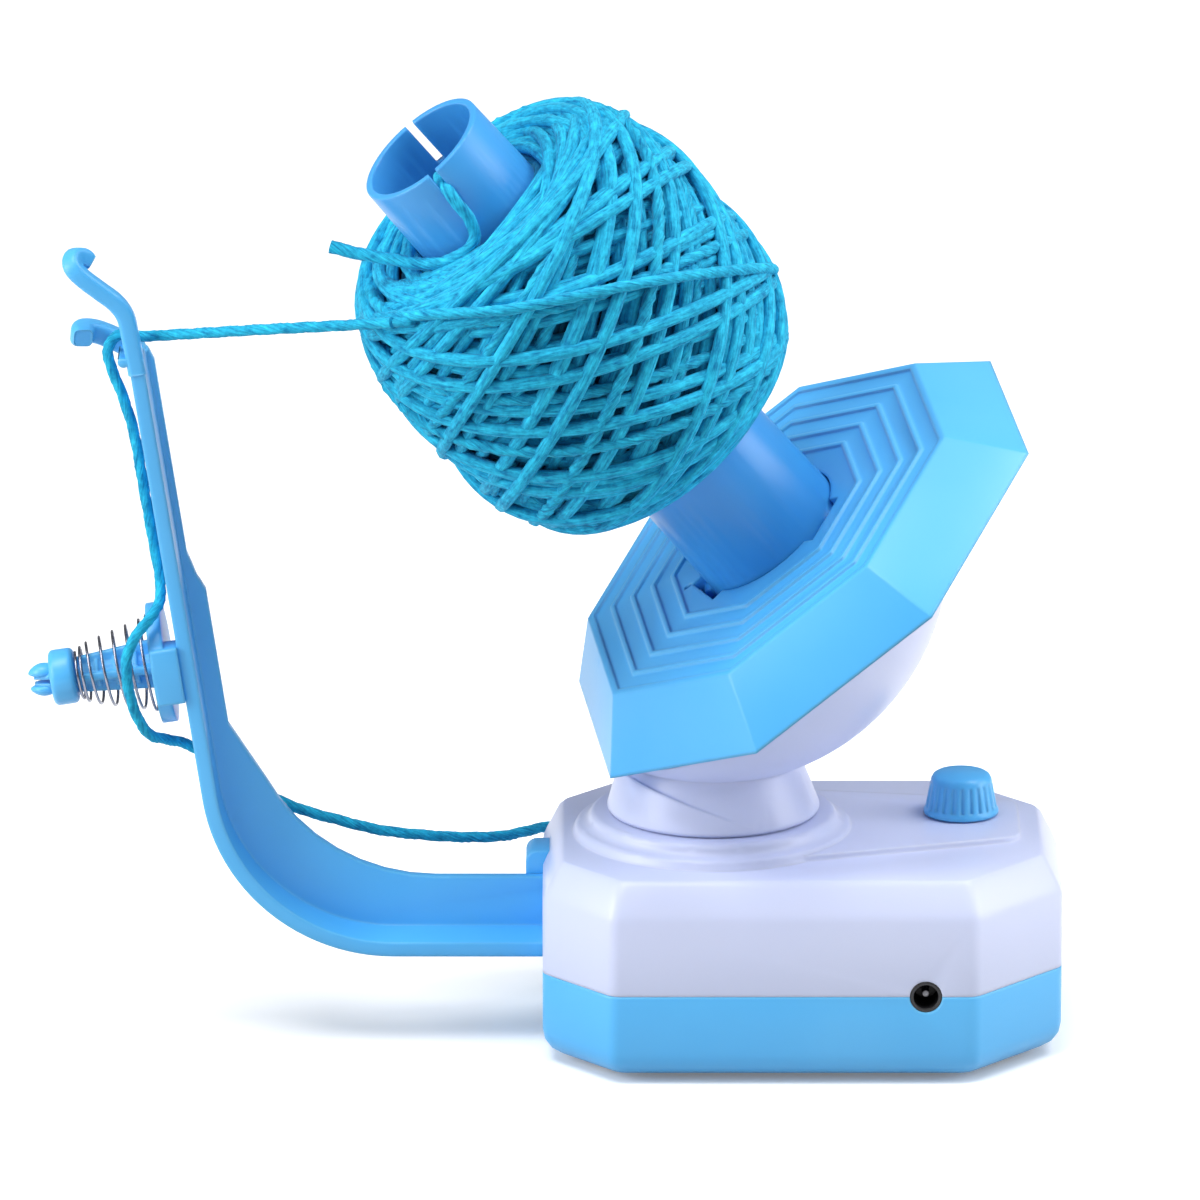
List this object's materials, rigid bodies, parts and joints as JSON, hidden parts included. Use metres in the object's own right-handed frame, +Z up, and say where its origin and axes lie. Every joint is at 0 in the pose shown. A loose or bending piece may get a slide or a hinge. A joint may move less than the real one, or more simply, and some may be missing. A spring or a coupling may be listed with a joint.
{
  "type": "electric yarn ball winder",
  "caption": "Motor-driven yarn ball winder: a cut-corner base carries a turning turret with a leaning, spinning octagonal tray and winding tube, and a side arm guides the yarn.",
  "frame": {"origin": "on the underside of the anti-slip pad, under the middle of the base", "axes": "+Z up, -Y out of the front with the power inlet, +X towards the speed knob"},
  "size_m": [0.2674, 0.1426, 0.2553],
  "materials": {
    "blue_plastic": "satin moulded",
    "white_plastic": "satin moulded",
    "rubber": "matte",
    "steel": "bright",
    "black_plastic": "matte",
    "green_board": "solder mask",
    "gear_plastic": "natural",
    "yarn": "spun yarn"
  },
  "bodies": {
    "base": {"anti_slip_pad": "rubber", "base_pan": "blue_plastic", "base_screws": "steel", "upper_housing": "white_plastic", "power_inlet": "black_plastic", "inlet_contact": "steel", "motor_can": "steel", "motor_plate": "steel", "motor_screws": "steel", "idler_pin": "steel", "control_board": "green_board", "speed_pot": "gear_plastic", "board_screws": "steel", "turret_bush": "gear_plastic", "centre_post": "gear_plastic", "post_screws": "steel", "sun_gear": "gear_plastic", "arm_socket": "blue_plastic", "guide_arm": "blue_plastic", "arm_screw": "steel", "tension_seat": "blue_plastic", "tension_cap": "blue_plastic", "tension_spring": "steel", "yarn_strand": "yarn", "yarn_knot": "yarn"},
    "motor_rotor": {"motor_pinion": "gear_plastic", "motor_shaft": "steel"},
    "idler": {"idler_gear": "gear_plastic"},
    "knob": {"speed_knob": "blue_plastic", "knob_shaft": "steel"},
    "turret": {"turret_shell": "white_plastic", "turret_ring_gear": "gear_plastic", "ring_gear_screws": "steel", "turret_cover": "white_plastic", "cover_screws": "steel", "spindle_bush": "gear_plastic"},
    "flyer": {"flyer_tray": "blue_plastic", "spindle_shaft": "steel", "planet_gear": "gear_plastic", "spindle_clip": "steel", "tray_nut": "steel", "winding_tube": "blue_plastic", "yarn_core": "yarn", "yarn_winding": "yarn"}
  },
  "joints": [
    {"name": "turret_turn", "type": "hinge", "parent": "base", "child": "turret", "pos_m": [-0.023, 0, 0.06], "axis": [0, 0, 1], "continuous": true},
    {"name": "flyer_spin", "type": "hinge", "parent": "turret", "child": "flyer", "pos_m": [-0.023, 0, 0.1505], "axis": [-0.6128, -0.223, 0.7581], "continuous": true},
    {"name": "idler_spin", "type": "hinge", "parent": "base", "child": "idler", "pos_m": [0.00902, -0.00798, 0.035], "axis": [0, 0, 1], "continuous": true},
    {"name": "motor_spin", "type": "hinge", "parent": "base", "child": "motor_rotor", "pos_m": [0.02962, -0.00509, 0.03], "axis": [0, 0, 1], "continuous": true},
    {"name": "knob_turn", "type": "hinge", "parent": "base", "child": "knob", "pos_m": [0.042, 0.01, 0.055], "axis": [0, 0, -1], "range_deg": [0, 280]}
  ],
  "couplings": [
    {"joint": "flyer_spin", "follows": "turret_turn", "ratio": 0.72},
    {"joint": "idler_spin", "follows": "turret_turn", "ratio": -3.7143},
    {"joint": "motor_spin", "follows": "turret_turn", "ratio": 12.381}
  ]
}
